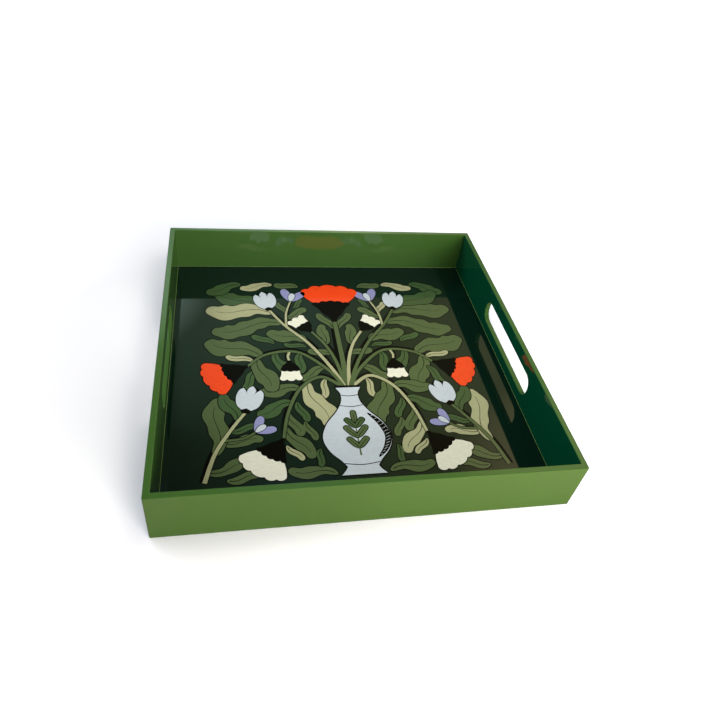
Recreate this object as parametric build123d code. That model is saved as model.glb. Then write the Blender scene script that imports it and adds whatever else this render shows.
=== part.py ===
"""Square lacquered serving tray: four mitred side boards, a base board with a rebated edge, and hidden pins.

Frame: millimetres, +Z up. The origin is the centre of the underside, at the level the tray rests on.
The front is -Y, and the two boards with hand slots stand at -X and +X.
"""

import os

from build123d import *

# Driving dimensions
SIDE = 330.0  # outside width and depth
HEIGHT = 50.0  # underside to rim
WALL = 5.0  # side board thickness
FLOOR_LEVEL = 4.0  # height of the serving surface, and the base board's thickness
FLANGE = 2.5  # thickness of the base board's edge, where it runs under the side boards
LIP = 2.0  # what is left of a side board outside its rebate

# Softened edges, as several coats of lacquer leave them
CORNER_RADIUS = 1.0  # upright outside corners
RIM_RADIUS = 0.6  # both edges of the rim
FOOT_RADIUS = 0.9  # outside bottom edge
WELL_CORNER_RADIUS = 0.8  # upright inside corners, where lacquer gathers
SLOT_EDGE_RADIUS = 0.5  # both edges of a hand slot

# Hand slots
SLOT_LENGTH = 120.0
SLOT_WIDTH = 23.0
SLOT_END_RADIUS = 10.0
SLOT_LEVEL = 25.5  # height of the slot's centre line

# Headless steel pins, sunk below the surface and filled over
PIN_DIAMETER = 0.64
PIN_CLEARANCE = 0.02  # on the radius, so that pins and boards don't share volume
CORNER_PIN_LENGTH = 15.0
CORNER_PIN_SUNK = 1.5
CORNER_PIN_LEVELS = (13.0, 39.0)  # through the front and back boards
CROSS_PIN_LEVEL = 26.0  # through the handle boards
BASE_PIN_LENGTH = 10.0
BASE_PIN_SUNK = 1.0
BASE_PIN_PLACES = (-120.0, -40.0, 40.0, 120.0)  # along each side

# Derived
HALF = SIDE / 2
WELL = SIDE - 2 * WALL
BASE_SIDE = SIDE - 2 * LIP
WALL_CENTRE = HALF - WALL / 2
BASE_PIN_LINE = (HALF - WALL + HALF - LIP) / 2  # middle of the flange under a side board
PIN_RADIUS = PIN_DIAMETER / 2
TOLERANCE = 0.01


def upright_box(width, depth, low, high):
    """A box centred on the Z axis, between two levels."""
    return Pos(0, 0, (low + high) / 2) * Box(width, depth, high - low)


def edges_at_level(solid, level):
    """The solid's edges that lie flat at one level."""
    return [
        edge
        for edge in solid.edges()
        if abs(edge.bounding_box().min.Z - level) < TOLERANCE
        and abs(edge.bounding_box().max.Z - level) < TOLERANCE
    ]


def outside_block():
    """The tray's outer shape with its softened corners and foot, before it is hollowed."""
    block = upright_box(SIDE, SIDE, 0, HEIGHT)
    block = fillet(block.edges().filter_by(Axis.Z), CORNER_RADIUS)
    return fillet(edges_at_level(block, 0), FOOT_RADIUS)


def well_block(low, high):
    """The space inside the side boards between two levels, with its softened upright corners."""
    block = upright_box(WELL, WELL, low, high)
    return fillet(block.edges().filter_by(Axis.Z), WELL_CORNER_RADIUS)


def hand_slots():
    """One long cutter with rounded ends that makes both hand slots."""
    profile = Plane.YZ.offset(-SIDE) * RectangleRounded(SLOT_LENGTH, SLOT_WIDTH, SLOT_END_RADIUS)
    return Pos(0, 0, SLOT_LEVEL) * extrude(profile, 2 * SIDE)


def slot_mouth_edges(solid):
    """The outlines of the hand slots on the inner and outer faces of the handle boards."""

    def is_mouth(edge):
        box = edge.bounding_box()
        flat = box.max.X - box.min.X < TOLERANCE
        within = box.size.Y < SLOT_LENGTH and abs(box.center().Y) < SLOT_LENGTH / 2
        between = box.min.Z > FLOOR_LEVEL + TOLERANCE and box.max.Z < HEIGHT - RIM_RADIUS - TOLERANCE
        return flat and within and between

    return [edge for edge in solid.edges() if is_mouth(edge)]


def frame_ring():
    """All four side boards as one ring: walls, rebate, hand slots and softened edges."""
    ring = outside_block()
    ring -= well_block(0, HEIGHT)
    ring = fillet(edges_at_level(ring, HEIGHT), RIM_RADIUS)
    ring -= upright_box(BASE_SIDE, BASE_SIDE, 0, FLANGE)
    ring -= hand_slots()
    return fillet(slot_mouth_edges(ring), SLOT_EDGE_RADIUS)


def mitre_wedge():
    """The quarter of the plan towards +X, cut along both diagonals."""
    reach = HALF + WALL
    plan = make_face(Polyline((0, 0), (reach, -reach), (reach, reach), (0, 0)))
    return extrude(plan, HEIGHT)


def pin(start, direction, length, clearance=0.0):
    """A round pin, or the hole for one when it has a clearance."""
    radius = PIN_RADIUS + clearance
    return extrude(Plane(origin=start, z_dir=direction) * Circle(radius), length)


def corner_pins(clearance=0.0):
    """Pins across the four mitres: two from the front or back and one from the side, at each corner."""
    start = HALF - CORNER_PIN_SUNK
    pins = []
    for x_sign in (-1, 1):
        for y_sign in (-1, 1):
            for level in CORNER_PIN_LEVELS:
                place = (x_sign * WALL_CENTRE, y_sign * start, level)
                pins.append(pin(place, (0, -y_sign, 0), CORNER_PIN_LENGTH, clearance))
            place = (x_sign * start, y_sign * WALL_CENTRE, CROSS_PIN_LEVEL)
            pins.append(pin(place, (-x_sign, 0, 0), CORNER_PIN_LENGTH, clearance))
    return pins


def base_pins(clearance=0.0):
    """Pins up through the base board's flange into the side boards, four on each side."""
    pins = []
    for quarter in range(4):
        for along in BASE_PIN_PLACES:
            upright = pin((BASE_PIN_LINE, along, BASE_PIN_SUNK), (0, 0, 1), BASE_PIN_LENGTH, clearance)
            pins.append(Rot(0, 0, 90 * quarter) * upright)
    return pins


def side_boards():
    """The four mitred boards, drilled for their pins, by name."""
    ring = frame_ring()
    holes = corner_pins(PIN_CLEARANCE) + base_pins(PIN_CLEARANCE)
    turns = {"right_handle_board": 0, "back_board": 90, "left_handle_board": 180, "front_board": 270}
    return {name: (ring & Rot(0, 0, turn) * mitre_wedge()) - holes for name, turn in turns.items()}


def base_board():
    """The panel that fills the well's floor, with a thinner edge that the side boards sit over."""
    panel = well_block(0, FLOOR_LEVEL) + upright_box(BASE_SIDE, BASE_SIDE, 0, FLANGE)
    return panel - base_pins(PIN_CLEARANCE)


def build_nodes():
    """Every node of the tray by name."""
    nodes = side_boards()
    nodes["base_board"] = base_board()
    nodes["corner_pins"] = Compound(children=corner_pins())
    nodes["base_pins"] = Compound(children=base_pins())
    return nodes


os.makedirs("parts", exist_ok=True)
for name, shape in build_nodes().items():
    export_step(shape, f"parts/{name}.step")
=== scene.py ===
"""Looks for the square lacquered serving tray: the lacquer, the painted bouquet and the studio.

Everything is in metres in the tray's own frame, apart from the painting, which is laid out in millimetres
from the centre of the floor and scaled when its meshes are made.
"""

import itertools
import math

import bmesh
import bpy
from mathutils import Matrix, Vector


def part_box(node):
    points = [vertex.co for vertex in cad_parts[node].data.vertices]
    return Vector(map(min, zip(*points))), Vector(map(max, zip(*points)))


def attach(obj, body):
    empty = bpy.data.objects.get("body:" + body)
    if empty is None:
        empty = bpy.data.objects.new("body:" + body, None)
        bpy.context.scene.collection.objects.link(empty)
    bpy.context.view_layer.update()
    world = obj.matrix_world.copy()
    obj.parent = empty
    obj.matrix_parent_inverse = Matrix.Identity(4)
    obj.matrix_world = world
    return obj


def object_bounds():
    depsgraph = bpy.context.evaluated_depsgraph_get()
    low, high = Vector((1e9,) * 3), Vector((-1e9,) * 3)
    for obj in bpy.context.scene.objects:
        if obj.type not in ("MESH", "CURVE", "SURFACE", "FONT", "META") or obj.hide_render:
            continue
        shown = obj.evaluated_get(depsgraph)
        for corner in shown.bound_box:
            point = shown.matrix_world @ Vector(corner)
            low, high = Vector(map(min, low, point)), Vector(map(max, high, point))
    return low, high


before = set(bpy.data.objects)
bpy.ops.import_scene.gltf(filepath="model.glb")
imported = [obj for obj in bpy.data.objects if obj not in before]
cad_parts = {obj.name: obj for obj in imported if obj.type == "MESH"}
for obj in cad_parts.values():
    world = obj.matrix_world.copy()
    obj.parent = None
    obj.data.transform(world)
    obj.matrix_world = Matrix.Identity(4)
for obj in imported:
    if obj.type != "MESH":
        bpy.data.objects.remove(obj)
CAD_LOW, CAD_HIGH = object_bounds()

MM = 0.001

# Sizes and places in the tray, read from the frame where it gives them
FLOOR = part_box("base_board")[1].z  # serving surface
WALL = 5 * MM  # thickness of the side boards
WELL_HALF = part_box("right_handle_board")[1].x - WALL  # from the middle to a side board's inner face
WELL_CORNER = 0.8 * MM  # radius of the well's upright corners


# ---------------------------------------------------------------- shader helpers


def new_material(name):
    """An empty node material and its output node."""
    material = bpy.data.materials.new(name)
    material.use_nodes = True
    tree = material.node_tree
    tree.nodes.clear()
    return material, tree, tree.nodes.new("ShaderNodeOutputMaterial")


def node(tree, kind, inputs=None, **settings):
    """A shader node with its settings, and its inputs set to values or joined to sockets."""
    made = tree.nodes.new("ShaderNode" + kind)
    for key, value in settings.items():
        setattr(made, key, value)
    for key, value in (inputs or {}).items():
        if isinstance(value, bpy.types.NodeSocket):
            tree.links.new(value, made.inputs[key])
        else:
            made.inputs[key].default_value = value
    return made


def position(tree):
    """The point being shaded, in the tray's frame."""
    return node(tree, "TexCoord").outputs["Object"]


def noise(tree, vector, scale, detail=2.0, roughness=0.5):
    """Soft noise between 0 and 1."""
    inputs = {"Vector": vector, "Scale": scale, "Detail": detail, "Roughness": roughness}
    return node(tree, "TexNoise", inputs).outputs["Fac"]


def math_node(tree, operation, *values):
    """One arithmetic step."""
    return node(tree, "Math", dict(enumerate(values)), operation=operation).outputs[0]


def remap(tree, value, low, high, to_low, to_high):
    """A value carried from one range to another, and held at the ends."""
    inputs = {"Value": value, "From Min": low, "From Max": high, "To Min": to_low, "To Max": to_high}
    return node(tree, "MapRange", inputs).outputs[0]


def rgba(colour):
    """A linear colour with full opacity."""
    return (*colour, 1.0)


def mix(tree, share, first, second):
    """Two colours mixed. Each is a colour or a socket."""
    first, second = [c if isinstance(c, bpy.types.NodeSocket) else rgba(c) for c in (first, second)]
    return node(tree, "Mix", {0: share, 6: first, 7: second}, data_type="RGBA").outputs[2]


# ---------------------------------------------------------------- lacquer and paint

BEAD_RADIUS = 0.25 * MM  # where lacquer gathers between the floor and the side boards
BASE_ROUGHNESS = (0.37, 0.49)  # of the colour under the clear coat
COAT_ROUGHNESS = (0.036, 0.0675)  # from the clearest to the haziest places
COAT_IOR = 1.5
RIPPLE = 0.06 * MM  # height of the waves in the coat
PEEL_SHARE = 0.12  # of the fine orange peel in those waves
INK_GLOSS = 0.2  # the black is flatter than the other paints


def lacquer(tree, output, colour, gloss=1.0):
    """Coloured lacquer under a clear coat that has fine orange peel, gentle waves and slight haze."""
    place = position(tree)
    peel = noise(tree, place, 900.0, 1.0)
    swell = noise(tree, place, 28.0, 2.0)
    height = math_node(tree, "ADD", math_node(tree, "MULTIPLY", peel, PEEL_SHARE), swell)
    bump = node(tree, "Bump", {"Strength": 0.35, "Distance": RIPPLE, "Height": height})
    shader = node(
        tree,
        "BsdfPrincipled",
        {
            "Base Color": colour,
            "Roughness": remap(tree, noise(tree, place, 60.0, 3.0), 0.3, 0.7, *BASE_ROUGHNESS),
            "Specular IOR Level": 0.0,
            "Coat Weight": gloss,
            "Coat Roughness": remap(tree, noise(tree, place, 45.0, 4.0, 0.6), 0.3, 0.75, *COAT_ROUGHNESS),
            "Coat IOR": COAT_IOR,
            "Normal": bump.outputs[0],
            "Coat Normal": bump.outputs[0],
        },
    )
    tree.links.new(shader.outputs[0], output.inputs["Surface"])


def drifting(tree, first, second):
    """A colour that wanders slowly between two near tones."""
    share = remap(tree, noise(tree, position(tree), 9.0, 3.0), 0.35, 0.65, 0.0, 1.0)
    return mix(tree, share, first, second)


# Two near tones of each lacquer
OLIVE = ((0.0390, 0.0980, 0.0186), (0.0417, 0.1045, 0.0204))
# painted shade: a darker emerald green for the right-hand board's inner face, which the lamps hardly reach
PAINTED_SHADE_GREEN = ((0.0003, 0.061, 0.0245), (0.0004, 0.065, 0.0265))
BOTTLE = ((0.0018, 0.0108, 0.0060), (0.0020, 0.0118, 0.0066))


def olive_lacquer():
    """The boards' lacquer: olive, with painted shade on the inner face of the right-hand board: a darker
    emerald green stands in for the shade that face lies in.

    On the bead at that board's foot the painted shade runs further round, over every part that leans its
    way.
    """
    material, tree, output = new_material("olive_lacquer")
    axes = node(tree, "SeparateXYZ", {0: position(tree)})
    facing = node(tree, "SeparateXYZ", {0: node(tree, "NewGeometry").outputs["True Normal"]})
    offset = math_node(tree, "SUBTRACT", axes.outputs[0], WELL_HALF)
    near = math_node(tree, "LESS_THAN", math_node(tree, "ABSOLUTE", offset), BEAD_RADIUS)
    limit = remap(tree, axes.outputs[2], FLOOR + BEAD_RADIUS, FLOOR + 2 * BEAD_RADIUS, -0.05, -0.7)
    inward = math_node(tree, "LESS_THAN", facing.outputs[0], limit)
    painted_shade = math_node(tree, "MULTIPLY", near, inward)
    # painted shade: emerald green instead of olive on the right-hand board's inner face and the bead at its
    # foot
    colour = mix(tree, painted_shade, drifting(tree, *OLIVE), drifting(tree, *PAINTED_SHADE_GREEN))
    lacquer(tree, output, colour)
    return material


def floor_lacquer():
    """The base board's lacquer: near-black bottle green above, olive underneath."""
    material, tree, output = new_material("floor_lacquer")
    axes = node(tree, "SeparateXYZ", {0: position(tree)})
    below = math_node(tree, "LESS_THAN", axes.outputs[2], FLOOR / 2)
    colour = mix(tree, below, drifting(tree, *BOTTLE), drifting(tree, *OLIVE))
    lacquer(tree, output, colour)
    return material


def pin_steel():
    """Drawn steel wire, which is hidden inside the boards."""
    material, tree, output = new_material("pin_steel")
    place = position(tree)
    colour = mix(tree, noise(tree, place, 900.0, 3.0), (0.50, 0.50, 0.51), (0.60, 0.60, 0.61))
    roughness = remap(tree, noise(tree, place, 700.0, 2.0), 0.3, 0.7, 0.3, 0.45)
    shader = node(tree, "BsdfPrincipled", {"Base Color": colour, "Metallic": 1.0, "Roughness": roughness})
    tree.links.new(shader.outputs[0], output.inputs["Surface"])
    return material


TINTS = {
    "ink": (0.0030, 0.0026, 0.0022),
    "moss": (0.075, 0.115, 0.042),
    "fern": (0.045, 0.090, 0.030),
    "sage": (0.39, 0.40, 0.22),
    "vermilion": (0.90, 0.060, 0.008),
    "cream": (0.81, 0.82, 0.66),
    "ice": (0.55, 0.62, 0.66),
    "lilac": (0.27, 0.28, 0.50),
}

BRUSH_SCALE = (260.0, 900.0, 400.0)  # streaks to a metre, which makes them longer than they are wide
BRUSH_TURN = 0.5  # radians from the X axis
STREAK_SHADE = 0.88


def paint_material(tint):
    """Flat artist's colour under the tray's clear coat, a little streaky where the brush ran."""
    material, tree, output = new_material("paint_" + tint)
    colour = TINTS[tint]
    darker = tuple(channel * STREAK_SHADE for channel in colour)
    gloss = INK_GLOSS if tint == "ink" else 1.0
    stretch = {"Vector": position(tree), "Scale": BRUSH_SCALE, "Rotation": (0.0, 0.0, BRUSH_TURN)}
    streaks = noise(tree, node(tree, "Mapping", stretch).outputs[0], 1.0, 3.0, 0.6)
    share = remap(tree, streaks, 0.35, 0.7, 0.0, 1.0)
    lacquer(tree, output, mix(tree, share, colour, darker), gloss)
    return material


def dress_cad_nodes():
    """The lacquers and the steel, set on the carried-over CAD nodes."""
    boards = olive_lacquer()
    base = floor_lacquer()
    steel = pin_steel()
    for name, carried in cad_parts.items():
        if name == "base_board":
            material = base
        elif name.endswith("_pins"):
            material = steel
        else:
            material = boards
        carried.data.materials.clear()
        carried.data.materials.append(material)


# ---------------------------------------------------------------- painting, laid out in millimetres

INK_LINE = 0.8  # dark outline round every motif
VEIN = 0.75  # width of a leaf's centre line
LEAF_STEPS = 36  # points along a leaf, close together at both ends
VEIN_STEPS = slice(6, 28)  # the part of them that the centre line covers
LEAF_WAVE = 0.12  # share of a leaf's width that its edge waves by
LEAF_WAVE_LENGTH = 20

# Paint layers, from the floor up. Each leaf has an outline, a fill and a vein, in one of several tiers,
# so that leaves that cross keep their outlines.
LEAF_LAYERS = 3
LEAF_TIERS = 4
SHADE, LEAVES = 0, 1
FIRST_STEM = LEAVES + LEAF_LAYERS * LEAF_TIERS
STEM_EDGE, STEM, BLOOM_EDGE, BLOOM, CUP, MARK, LEAVES_OVER = range(FIRST_STEM, FIRST_STEM + 7)

shapes = []  # (colour, layer, outline)
leaf_tiers = itertools.cycle(range(LEAF_TIERS))


def put(colour, layer, outline):
    """One flat patch of paint."""
    shapes.append((colour, layer, outline))


def unit(angle):
    """The direction at an angle in degrees, measured from +X towards +Y."""
    turn = math.radians(angle)
    return math.cos(turn), math.sin(turn)


def between(a, b, c, d, t):
    """The value at t on a Catmull-Rom curve from b to c, with a before them and d after."""
    return 0.5 * (2 * b + (c - a) * t + (2 * a - 5 * b + 4 * c - d) * t**2 + (3 * b - a - 3 * c + d) * t**3)


def smooth_path(points, steps=10):
    """A curve through the points."""
    ends = [points[0]] + list(points) + [points[-1]]
    path = []
    for a, b, c, d in zip(ends, ends[1:], ends[2:], ends[3:]):
        for step in range(steps):
            path.append(tuple(between(*values, step / steps) for values in zip(a, b, c, d)))
    return path + [tuple(points[-1])]


def headings(path):
    """The unit direction of a path at each of its points."""
    out = []
    for i in range(len(path)):
        x0, y0 = path[max(i - 1, 0)]
        x1, y1 = path[min(i + 1, len(path) - 1)]
        length = math.hypot(x1 - x0, y1 - y0) or 1.0
        out.append(((x1 - x0) / length, (y1 - y0) / length))
    return out


def ribbon(path, widths, shift=0.0):
    """The outline of a stroke along a path, with its width at each point. A shift moves it to the left."""
    left, right = [], []
    for (x, y), (dx, dy), width in zip(path, headings(path), widths):
        left.append((x - dy * (shift + width / 2), y + dx * (shift + width / 2)))
        right.append((x - dy * (shift - width / 2), y + dx * (shift - width / 2)))
    return left + right[::-1]


def doubled_area(outline):
    """Twice the area inside an outline, which is positive where it runs counterclockwise."""
    return sum(x0 * y1 - x1 * y0 for (x0, y0), (x1, y1) in zip(outline, outline[1:] + outline[:1]))


def grown(outline, amount):
    """The outline moved outwards by an amount. The outline may run either way round."""
    side = amount if doubled_area(outline) > 0 else -amount
    out = []
    for i, (x, y) in enumerate(outline):
        x0, y0 = outline[i - 1]
        x1, y1 = outline[(i + 1) % len(outline)]
        length = math.hypot(x1 - x0, y1 - y0) or 1.0
        out.append((x + side * (y1 - y0) / length, y - side * (x1 - x0) / length))
    return out


def placed(outline, origin, heading, scale=1.0):
    """An outline drawn along +Y, moved to its origin and turned to a heading in degrees."""
    dx, dy = unit(heading)
    x0, y0 = origin
    return [(x0 + scale * (x * dy + y * dx), y0 + scale * (y * dy - x * dx)) for x, y in outline]


def scallops(points, depth, steps=7):
    """Round lobes that bulge to the left of each step from point to point."""
    out = []
    for (x0, y0), (x1, y1) in zip(points, points[1:]):
        dx, dy = x1 - x0, y1 - y0
        length = math.hypot(dx, dy)
        for step in range(steps):
            t = step / steps
            rise = depth * math.sin(math.pi * t) ** 0.7 if t else 0.0
            out.append((x0 + dx * t - dy / length * rise, y0 + dy * t + dx / length * rise))
    return out + [points[-1]]


def reflected(half):
    """Half an outline followed by its mirror image in the Y axis."""
    return half[:-1] + [(-x, y) for x, y in half[::-1]]


def skirt(flank, brim, depth, steps):
    """A shape with a curved flank, a scalloped brim, and the flank's mirror image."""
    side = smooth_path(flank, steps)
    return side[:-1] + scallops(brim, depth)[:-1] + [(-x, y) for x, y in side[::-1]]


def outlined(colour, outline, line=INK_LINE, edge_layer=BLOOM_EDGE, layer=BLOOM):
    """A patch of colour with a dark line round it."""
    put("ink", edge_layer, grown(outline, line))
    put(colour, layer, outline)


def leaf(colour, base, heading, length, width, sway=0.1, over=False):
    """A long round-ended leaf with a soft wave in its edge, a dark outline and a centre line."""
    dx, dy = unit(heading)
    path, widths = [], []
    waves = max(1, round(length / LEAF_WAVE_LENGTH))
    for i in range(LEAF_STEPS + 1):
        t = 0.5 - 0.5 * math.cos(math.pi * i / LEAF_STEPS)
        aside = length * sway * math.sin(2 * math.pi * t)
        path.append((base[0] + dx * length * t - dy * aside, base[1] + dy * length * t + dx * aside))
        paddle = (1 - (2 * t - 1) ** 2) ** 0.42 * (0.6 + 0.52 * t)
        widths.append(width * paddle * (1 + LEAF_WAVE * math.sin(2 * math.pi * waves * t + 0.6)))
    layer = LEAVES_OVER if over else LEAVES + LEAF_LAYERS * next(leaf_tiers)
    outlined(colour, ribbon(path, widths), INK_LINE, layer, layer + 1)
    vein = path[VEIN_STEPS]
    put("ink", layer + 2, ribbon(vein, [VEIN * (1 - 0.6 * i / len(vein)) for i in range(len(vein))]))


def stem(colour, points, wide=3.6, thin=2.6, shade=1.0):
    """A stem along a smooth curve, with a dark shadow stroke on one side (1 left, -1 right)."""
    path = smooth_path(points)
    last = len(path) - 1
    widths = [wide + (thin - wide) * i / last for i in range(last + 1)]
    dark = []
    for i, width in enumerate(widths):
        swell = math.sin(math.pi * min(1.0, 0.12 + 0.95 * i / last)) ** 0.5
        dark.append(width * 0.95 * swell)
    put("ink", SHADE, ribbon(path, dark, shade * wide * 0.85))
    put("ink", STEM_EDGE, ribbon(path, [w + 1.6 * INK_LINE for w in widths]))
    put(colour, STEM, ribbon(path, widths))
    return path


def fan_bloom(colour, origin, heading, size):
    """A trumpet bloom: a flared skirt of petals with a scalloped brim, over a dark scalloped cup."""
    flank = [(-7, 14), (-14, 26), (-25, 38), (-31, 47)]
    brim = [(-31, 47), (-22, 55), (-9, 59), (9, 59), (22, 55), (31, 47)]
    scale = size / 60
    outlined(colour, placed(skirt(flank, brim, 3.2, 6), origin, heading, scale))
    cup_side = [(-2.2, 0), (-4, 6), (-10, 13), (-15, 22), (-21, 29)]
    crown = [(-21, 29), (-13, 31), (-4.5, 33), (4.5, 33), (13, 31), (21, 29)]
    put("ink", CUP, placed(skirt(cup_side, crown, 2.0, 5), origin, heading, scale))


def tulip(colour, origin, heading, size):
    """A three-lobed tulip on a small dark cup."""
    body = [(-3, 2), (-10, 8), (-13, 18), (-12, 27), (-8.5, 31)]
    notch = [(-8.5, 31), (-5, 27), (-3.6, 23)]
    middle = [(-3.6, 23), (-4, 30), (0, 35)]
    half = smooth_path(body, 6)[:-1] + smooth_path(notch, 4)[:-1] + smooth_path(middle, 5)
    scale = size / 35
    outlined(colour, placed(reflected(half), origin, heading, scale))
    put("ink", CUP, placed([(-3.4, -1), (-4.6, 3), (0, 5.5), (4.6, 3), (3.4, -1)], origin, heading, scale))


def bell(colour, origin, heading, size):
    """A small hanging bell with a three-scallop mouth and a dark cap."""
    side = [(-5, 8), (-9, 13), (-10, 20), (-12, 25)]
    mouth = [(-12, 25), (-4.5, 26.5), (4.5, 26.5), (12, 25)]
    scale = size / 29
    outlined(colour, placed(skirt(side, mouth, 2.6, 5), origin, heading, scale))
    cap_side = [(-1.2, -1), (-4, 3), (-8, 7), (-10.5, 13)]
    cap_edge = [(-10.5, 13), (-3.6, 14.5), (3.6, 14.5), (10.5, 13)]
    put("ink", CUP, placed(skirt(cap_side, cap_edge, 1.4, 4), origin, heading, scale))


def petal(length, width, count=20):
    """A slim petal that starts at the origin and points along +Y."""
    out = []
    for i in range(count):
        across, along = math.sin(2 * math.pi * i / count), math.cos(2 * math.pi * i / count)
        out.append((width / 2 * across * (1 - 0.25 * along), length / 2 * (1 - along)))
    return out


def bud(colour, origin, heading, size):
    """A small open bud: two slim petals spread about a pale middle one."""
    line = INK_LINE * 0.8
    for spread in (-32, 32):
        outlined(colour, placed(petal(size, size * 0.42), origin, heading + spread), line)
    outlined("ice", placed(petal(size * 0.62, size * 0.3), origin, heading), line, CUP, MARK)


def vase_shade(side, depth=6.0, tick_width=0.35):
    """A dark crescent inside one side of the vase, hatched with pale ticks."""
    path = smooth_path(side, 8)
    last = len(path) - 1
    widths = [depth * math.sin(math.pi * i / last) ** 0.6 for i in range(last + 1)]
    put("ink", CUP, ribbon(path, widths, -depth / 2))
    for i in range(3, last - 1, 2):
        x, y = path[i]
        dx, dy = headings(path)[i]
        x, y = x + dy * depth / 2, y - dx * depth / 2
        reach = widths[i] * 0.32
        tick = [(x - reach, y - reach * 0.5), (x + reach, y + reach * 0.5)]
        put("ice", MARK, ribbon(tick, [tick_width, tick_width]))


def sprig():
    """A stalk with a leaf at its top and three pairs of leaves below."""
    put("moss", MARK, ribbon([(0, -106), (0, -66)], [1.6, 1.0]))
    leaf("moss", (0, -70), 90, 13, 6, 0.0, over=True)
    for level, reach in ((-76, 13), (-87, 16), (-98, 14)):
        for turn in (52, 128):
            leaf("moss" if reach > 13 else "fern", (0, level), turn, reach, 6.4, 0.0, over=True)


def vase():
    """A round-bellied vase on a foot, with a dark lip, thin bands, a sprig and a shaded side."""
    neck = [(12, -27), (11, -30), (8.2, -36), (8.8, -46)]
    belly = [(15, -58), (25, -71), (30, -86), (26, -100), (17, -111)]
    foot = [(13, -117), (15.5, -121), (19, -125)]
    half = smooth_path(neck + belly + foot[:1], 6)[:-1] + smooth_path(foot, 4)
    outlined("ice", half + [(-x, y) for x, y in half[::-1]], INK_LINE * 1.4)
    put("ink", CUP, [(-12.6, -26), (12.6, -26), (12.2, -28.6), (-12.2, -28.6)])
    for level, reach, sag in ((-38, 8.0, 1.2), (-50.5, 10.4, 1.6), (-113.5, 15.2, 2.0)):
        band = smooth_path([(-reach, level), (0, level - sag), (reach, level)])
        put("ink", CUP, ribbon(band, [0.8] * len(band)))
    vase_shade(belly)
    sprig()


def bouquet_half(side):
    """One half of the bouquet: +1 right, -1 left. The light and dark leaf tints swap between the halves."""
    light, deep = ("sage", "moss") if side > 0 else ("moss", "sage")

    def at(*points):
        return [(side * x, y) for x, y in points]

    def turn(angle):
        return angle if side > 0 else 180 - angle

    def leaves(path, *rows):
        for share, heading, length, width, tint in rows:
            leaf(tint, path[round(share * (len(path) - 1))], turn(heading), length, width, side * 0.065)

    def lone_leaves(*rows):
        for tint, x, y, heading, length, width in rows:
            leaf(tint, (side * x, y), turn(heading), length, width, side * 0.06)

    # Inner stem with a cream bell
    path = stem(light, at((2, -26), (6, 5), (14, 30), (26, 50)), shade=side)
    bell("cream", path[-1], turn(52), 26)
    leaves(path, (0.66, 92, 30, 12, "moss"), (0.45, 18, 24, 10, "moss"))
    # High stem with an ice tulip, and a lilac bud beside it
    path = stem(deep, at((3, -26), (12, -2), (30, 32), (52, 60), (66, 84)), shade=side)
    tulip("ice", path[-1], turn(78), 31)
    twig = stem("sage", at((50, 58), (49, 78), (43, 98)), 2.4, 1.8, side)
    bud("lilac", twig[-1], turn(104), 22)
    leaves(twig, (0.35, 150, 26, 11, "moss"), (0.50, 66, 20, 8, light))
    leaves(
        path,
        (0.99, 30, 62, 21, "fern"),
        (0.92, 7, 66, 24, deep),
        (0.78, -8, 70, 22, "moss"),
        (0.52, 24, 40, 18, "moss"),
    )
    lone_leaves(
        ("moss", 33, 122, 12, 26, 11),
        ("sage", 61, 126, -8, 34, 12),
        ("fern", 94, 127, -20, 38, 17),
        ("fern", 41, 87, 128, 17, 7),
        ("fern", 64, 33, 32, 24, 9),
        ("moss", 3, 54, 62, 27, 10),
    )
    # Wide stem with a vermilion bloom, and a cream bell hanging from it
    path = stem("moss", at((4, -26), (16, -4), (42, 20), (72, 18), (90, 3)), shade=side)
    fan_bloom("vermilion", path[-1], turn(-26), 42)
    twig = stem("sage", at((50, 21), (52, 14), (51, 8)), 2.6, 2.2, side)
    bell("cream", twig[-1], turn(-90), 26)
    leaves(
        path,
        (0.80, 24, 56, 24, "moss"),
        (0.86, -104, 44, 20, "moss"),
        (0.68, -106, 36, 13, "fern"),
        (0.48, -82, 27, 11, "fern"),
        (0.28, -30, 28, 12, "moss"),
    )
    lone_leaves(
        ("sage", 85, 9, 18, 26, 8),
        ("fern", 83, -4, -62, 25, 10),
        ("sage", 19, -17, -78, 24, 8),
        ("fern", 33, 27, 14, 22, 7),
    )
    # Drooping stem with a cream bloom
    path = stem(light, at((6, -26), (24, -14), (44, -28), (57, -56), (63, -84)), shade=side)
    fan_bloom("cream", path[-1], turn(-56), 42)
    leaves(
        path,
        (0.40, -104, 56, 21, deep),
        (0.50, -2, 36, 15, "moss"),
        (0.66, -22, 34, 15, "fern"),
        (0.74, -108, 28, 11, "moss"),
        (0.88, -120, 40, 14, light),
    )
    lone_leaves(
        ("moss", 22, -123, 10, 40, 12),
        ("fern", 48, -44, -106, 24, 9),
        ("moss", 43, -67, -108, 22, 8),
        ("fern", 33, -97, -82, 18, 7),
        ("sage", 61, -92, -128, 20, 7),
        ("moss", 110, -123, 172, 27, 10),
    )
    # Corner stem with an ice tulip and a lilac bud
    path = stem(deep, at((127, -124), (119, -96), (106, -72), (94, -54)), shade=-side)
    tulip("ice", path[-1], turn(104), 32)
    twig = stem("moss", at((113, -84), (96, -82), (86, -76)), 2.4, 1.8, -side)
    bud("lilac", twig[-1], turn(140), 18)
    leaves(
        path,
        (0.30, 94, 62, 19, light),
        (0.80, 70, 34, 14, "fern"),
        (0.12, 168, 36, 12, "moss"),
        (0.45, 178, 34, 11, light),
        (0.62, 170, 24, 8, "fern"),
    )


def painting():
    """The whole bouquet in its vase."""
    stem("moss", [(0, -26), (0.5, 20), (0, 66)], 5.0, 4.4)
    fan_bloom("vermilion", (0, 64), 90, 60)
    for side in (-1, 1):
        bouquet_half(side)
    vase()


# ---------------------------------------------------------------- from outlines to thin meshes of paint

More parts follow.
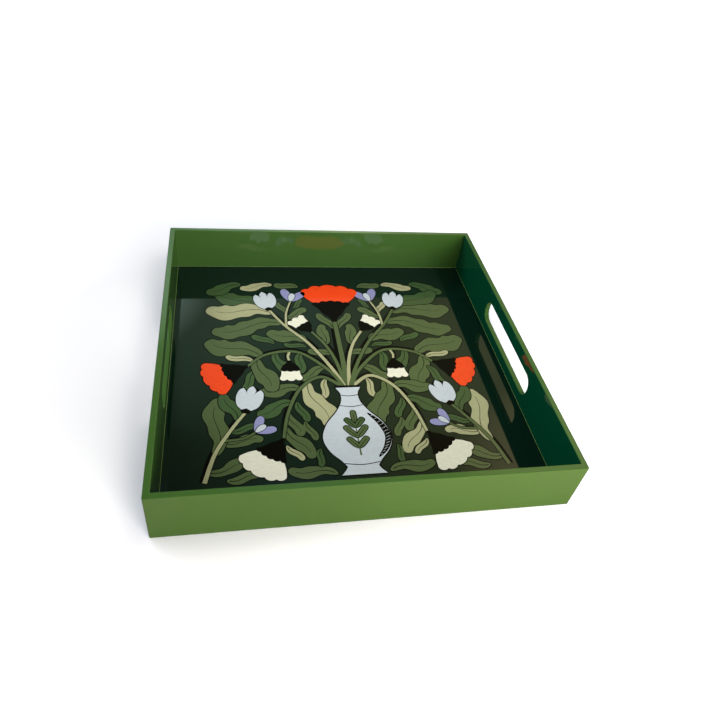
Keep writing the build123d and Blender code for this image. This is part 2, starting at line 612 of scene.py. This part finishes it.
BED = 0.012 * MM  # top of the lowest paint layer above the lacquer
LAYER_STEP = 0.006 * MM
SHAPE_STEP = 0.0007 * MM  # patches in one layer never lie exactly level
SHAPE_STEPS = 8
UNDERSIDE = 0.002 * MM  # of every patch, above the lacquer
LEAST_STEP = 0.005  # millimetres between two points of an outline


def film(mesh, outline, top):
    """A thin closed slab of paint with this outline, in millimetres."""
    upper = [mesh.verts.new((x * MM, y * MM, top)) for x, y in outline]
    lower = [mesh.verts.new((x * MM, y * MM, FLOOR + UNDERSIDE)) for x, y in outline]
    mesh.faces.new(upper)
    mesh.faces.new(lower[::-1])
    count = len(outline)
    for i in range(count):
        j = (i + 1) % count
        mesh.faces.new((upper[i], lower[i], lower[j], upper[j]))


def counterclockwise(outline):
    """The outline turned the right way round, with repeated points dropped."""
    kept = [p for i, p in enumerate(outline) if math.dist(p, outline[i - 1]) > LEAST_STEP]
    return kept if doubled_area(kept) > 0 else kept[::-1]


def paint_pieces():
    """One piece for each colour of paint, riding on the tray."""
    for tint in TINTS:
        mesh = bmesh.new()
        for i, (colour, layer, outline) in enumerate(shapes):
            if colour == tint:
                top = FLOOR + BED + layer * LAYER_STEP + (i % SHAPE_STEPS) * SHAPE_STEP
                film(mesh, counterclockwise(outline), top)
        data = bpy.data.meshes.new("paint_" + tint)
        mesh.to_mesh(data)
        mesh.free()
        data.materials.append(paint_material(tint))
        piece = bpy.data.objects.new("paint_" + tint, data)
        bpy.context.scene.collection.objects.link(piece)
        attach(piece, "root")


# ---------------------------------------------------------------- lacquer bead

CLEARANCE = 0.01 * MM  # between the bead and the boards it lies against


def rounded_square(half, radius, steps=6):
    """Points round a square about the Z axis, with rounded corners."""
    points = []
    for corner in range(4):
        turn = math.pi / 2 * corner
        centre = Vector((half - radius, half - radius)).to_3d()
        for step in range(steps + 1):
            angle = math.pi / 2 * step / steps
            point = centre + Vector((radius * math.cos(angle), radius * math.sin(angle), 0.0))
            points.append(Matrix.Rotation(turn, 3, "Z") @ point)
    return points


def bead_profile(steps=5):
    """The bead's cross-section, as distances in from the side board and up from the floor."""
    reach = BEAD_RADIUS - CLEARANCE
    profile = [(CLEARANCE, CLEARANCE)]
    for step in range(steps + 1):
        angle = math.pi / 2 * step / steps
        profile.append((BEAD_RADIUS - reach * math.sin(angle), BEAD_RADIUS - reach * math.cos(angle)))
    return profile


def lacquer_bead():
    """The hollow fillet of lacquer that runs round the floor against the side boards."""
    mesh = bmesh.new()
    rings = []
    for inward, rise in bead_profile():
        square = rounded_square(WELL_HALF - inward, WELL_CORNER - inward)
        rings.append([mesh.verts.new((point.x, point.y, FLOOR + rise)) for point in square])
    for i, ring in enumerate(rings):
        previous = rings[i - 1]
        for j in range(len(ring)):
            mesh.faces.new((ring[j - 1], ring[j], previous[j], previous[j - 1]))
    bmesh.ops.recalc_face_normals(mesh, faces=mesh.faces)
    for face in mesh.faces:
        face.smooth = True
    data = bpy.data.meshes.new("lacquer_bead")
    mesh.to_mesh(data)
    mesh.free()
    data.materials.append(bpy.data.materials["olive_lacquer"])
    bead = bpy.data.objects.new("lacquer_bead", data)
    bpy.context.scene.collection.objects.link(bead)
    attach(bead, "root")


# ---------------------------------------------------------------- studio

PALE = (0.85, 0.85, 0.85)  # how the floor looks in the view
BOUNCE = (0.85, 0.70, 0.58)  # what it throws back on the tray
MIRRORED = (0.42, 0.33, 0.27)  # how it looks in the tray's gloss
GLOW_CENTRE = (-0.15, 0.02, 0.0)  # painted glow: the floor glows in the view only, more the further it lies from this place, so it turns plain white away from it
GLOW_START, GLOW_FULL = 0.14, 0.67
NEAR_GLOW, FAR_GLOW = 0.12, 1.0
GLOW = (0.93, 0.99, 1.10)  # undoes the warmth of the lamps
FLOOR_REACH = 14.0
FOOT = 1 * MM  # how far the floor reaches in under the tray, past its rounded lower edge
FLOOR_DROP = 0.05 * MM  # keeps the floor's face apart from the tray's underside


def studio_floor():
    """A plain pale floor with a painted glow, seen only in the view, that whitens it away from the tray;
    open from below and under the tray itself.
    """
    data = bpy.data.meshes.new("studio_floor")
    signs = ((-1, -1), (1, -1), (1, 1), (-1, 1))
    data.from_pydata([(x * FLOOR_REACH, y * FLOOR_REACH, -FLOOR_DROP) for x, y in signs], [], [(0, 1, 2, 3)])
    material, tree, output = new_material("studio_floor")
    path = node(tree, "LightPath")
    away = node(tree, "VectorMath", {0: position(tree), 1: GLOW_CENTRE}, operation="DISTANCE")
    glow = remap(tree, away.outputs["Value"], GLOW_START, GLOW_FULL, NEAR_GLOW, FAR_GLOW)
    unseen = mix(tree, path.outputs["Is Glossy Ray"], BOUNCE, MIRRORED)
    shader = node(
        tree,
        "BsdfPrincipled",
        {
            "Base Color": mix(tree, path.outputs["Is Camera Ray"], unseen, PALE),
            "Roughness": 1.0,
            "Specular IOR Level": 0.0,
            "Emission Color": rgba(GLOW),
            # painted glow: the floor emits light for the view only, weakest near the tray
            "Emission Strength": math_node(tree, "MULTIPLY", path.outputs["Is Camera Ray"], glow),
        },
    )
    clear = node(tree, "BsdfTransparent")
    behind = node(tree, "NewGeometry").outputs["Backfacing"]
    from_below = math_node(tree, "MULTIPLY", path.outputs["Is Camera Ray"], behind)
    axes = node(tree, "SeparateXYZ", {0: position(tree)})
    across, along = [math_node(tree, "ABSOLUTE", axes.outputs[i]) for i in range(2)]
    covered = math_node(tree, "LESS_THAN", math_node(tree, "MAXIMUM", across, along), CAD_HIGH.x - FOOT)
    opening = math_node(tree, "MAXIMUM", from_below, covered)
    either = node(tree, "MixShader", {0: opening, 1: shader.outputs[0], 2: clear.outputs[0]})
    tree.links.new(either.outputs[0], output.inputs["Surface"])
    data.materials.append(material)
    floor = bpy.data.objects.new("studio_floor", data)
    bpy.context.scene.collection.objects.link(floor)


def sky_direction(azimuth, elevation):
    """A direction towards the sky. The azimuth is measured from +X towards +Y, in degrees."""
    across, up = math.radians(azimuth), math.radians(elevation)
    return (math.cos(across) * math.cos(up), math.sin(across) * math.cos(up), math.sin(up))


def sky_patch(tree, azimuth, elevation, inner, outer):
    """1 within an inner angle of a direction, fading to 0 at an outer angle."""
    toward = node(tree, "TexCoord").outputs["Generated"]
    centre = sky_direction(azimuth, elevation)
    closeness = node(tree, "VectorMath", {0: toward, 1: centre}, operation="DOT_PRODUCT")
    near, far = math.cos(math.radians(inner)), math.cos(math.radians(outer))
    return remap(tree, closeness.outputs["Value"], far, near, 0.0, 1.0)


BACKDROP = (1.0, 1.0, 1.0)  # how the room looks past the floor's edge
UNDERNEATH = (0.70, 0.66, 0.62)  # light that reaches the tray's underside through the opening in the floor
ROOM = (0.05, 0.05, 0.05)
DIM = (80, 45, 22, 34)  # the part of the room that the tray's floor mirrors to the camera is dim

# Pale areas of the room: azimuth, elevation, inner and outer angle, and colour times strength
PATCHES = (
    (100, 37, 3.0, 6.0, (0.85, 1.20, 1.05)),  # window
    (90, 35, 4.0, 17.0, (0.28, 0.41, 0.30)),  # its glow on the wall
    (83, 48, 7.0, 17.0, (0.14, 0.16, 0.10)),  # pale wall
    (60, 43, 3.0, 15.0, (0.45, 0.41, 0.15)),  # warm wall
    (49, 33, 3.0, 19.0, (0.25, 0.31, 0.22)),  # pale wall beyond it
    (45, 48, 4.0, 9.0, (0.80, 0.65, 0.33)),  # warm lamp
    (78, 64, 5.0, 10.0, (0.12, 0.20, 0.42)),  # skylight
    (80, 26, 5.0, 9.0, (1.80, 2.00, 1.20)),  # low lamp
    (73, 27, 5.0, 9.0, (1.20, 1.30, 0.75)),  # another low lamp
    (89, 28, 4.0, 8.5, (1.10, 1.50, 1.20)),  # a third low lamp
    (-80, 39, 8.0, 17.0, (0.95, 1.35, 1.30)),  # window in front of the tray
)


def scaled(tree, value, colour):
    """A colour times a number."""
    return mix(tree, value, (0.0, 0.0, 0.0), colour)


def world_light():
    """A dim room with pale areas for the tray to mirror. The view itself sees a plain white backdrop."""
    world = bpy.data.worlds.new("studio_world")
    world.use_nodes = True
    tree = world.node_tree
    tree.nodes.clear()
    room = math_node(tree, "SUBTRACT", 1.0, sky_patch(tree, *DIM))
    total = scaled(tree, room, ROOM)
    for azimuth, elevation, inner, outer, colour in PATCHES:
        patch = scaled(tree, sky_patch(tree, azimuth, elevation, inner, outer), colour)
        total = node(tree, "VectorMath", {0: total, 1: patch}, operation="ADD").outputs[0]
    height = node(tree, "SeparateXYZ", {0: node(tree, "TexCoord").outputs["Generated"]}).outputs[2]
    total = mix(tree, math_node(tree, "LESS_THAN", height, 0.0), total, UNDERNEATH)
    total = mix(tree, node(tree, "LightPath").outputs["Is Camera Ray"], total, BACKDROP)
    background = node(tree, "Background", {"Color": total, "Strength": 1.0})
    node(tree, "OutputWorld", {"Surface": background.outputs[0]})
    bpy.context.scene.world = world


def softbox(name, place, size, power, colour):
    """A square soft light that faces the tray, and is out of sight and out of the tray's reflections."""
    data = bpy.data.lights.new(name, "AREA")
    data.shape = "SQUARE"
    data.size = size
    data.energy = power
    data.color = colour
    light = bpy.data.objects.new(name, data)
    light.location = place
    light.rotation_euler = (-Vector(place)).to_track_quat("-Z", "Y").to_euler()
    light.visible_camera = False
    light.visible_glossy = False
    bpy.context.scene.collection.objects.link(light)


NEUTRAL = (1.0, 0.94, 0.89)
WARM = (1.0, 0.72, 0.62)
COOL = (0.90, 0.89, 1.0)


def studio_lights():
    """Broad light from the front and its right, a warm lamp low in front, cooler ones at left and back."""
    softbox("key_front", (0.45, -1.28, 0.50), 0.6, 12.5, NEUTRAL)
    softbox("key_front_right", (0.60, -1.20, 0.35), 0.5, 7.5, NEUTRAL)
    softbox("fill_right", (0.95, -0.70, 0.35), 0.5, 2.4, NEUTRAL)
    softbox("low_front", (0.14, -0.44, 0.06), 0.12, 0.95, WARM)
    softbox("back_left", (-0.90, 0.80, 0.90), 0.6, 9.5, COOL)
    softbox("left", (-0.95, 0.20, 0.65), 0.5, 2.8, COOL)
    softbox("overhead", (0.03, -0.05, 0.44), 0.25, 1.0, NEUTRAL)


# ---------------------------------------------------------------- camera

CAMERA_PLACE = Vector((-0.1033, -0.4080, 0.4157))
CAMERA_FORWARD = Vector((0.2070, 0.7130, -0.6699))
CAMERA_RIGHT = Vector((0.9781, -0.1650, 0.1267))
FOCAL_LENGTH = 30.61  # for a sensor 36 wide
SHIFT = (-0.0035, -0.0226)


def camera():
    """The camera, a little to the left of the tray and looking down on it."""
    data = bpy.data.cameras.new("camera")
    data.sensor_width = 36.0
    data.lens = FOCAL_LENGTH
    data.shift_x, data.shift_y = SHIFT
    data.clip_start = 0.01
    backward = -CAMERA_FORWARD.normalized()
    up = backward.cross(CAMERA_RIGHT).normalized()
    right = up.cross(backward)
    turn = Matrix((right, up, backward)).transposed().to_4x4()
    made = bpy.data.objects.new("camera", data)
    made.matrix_world = Matrix.Translation(CAMERA_PLACE) @ turn
    bpy.context.scene.collection.objects.link(made)
    bpy.context.scene.camera = made


dress_cad_nodes()
painting()
paint_pieces()
lacquer_bead()
studio_floor()
world_light()
studio_lights()
camera()
bpy.context.scene.view_settings.view_transform = "Standard"
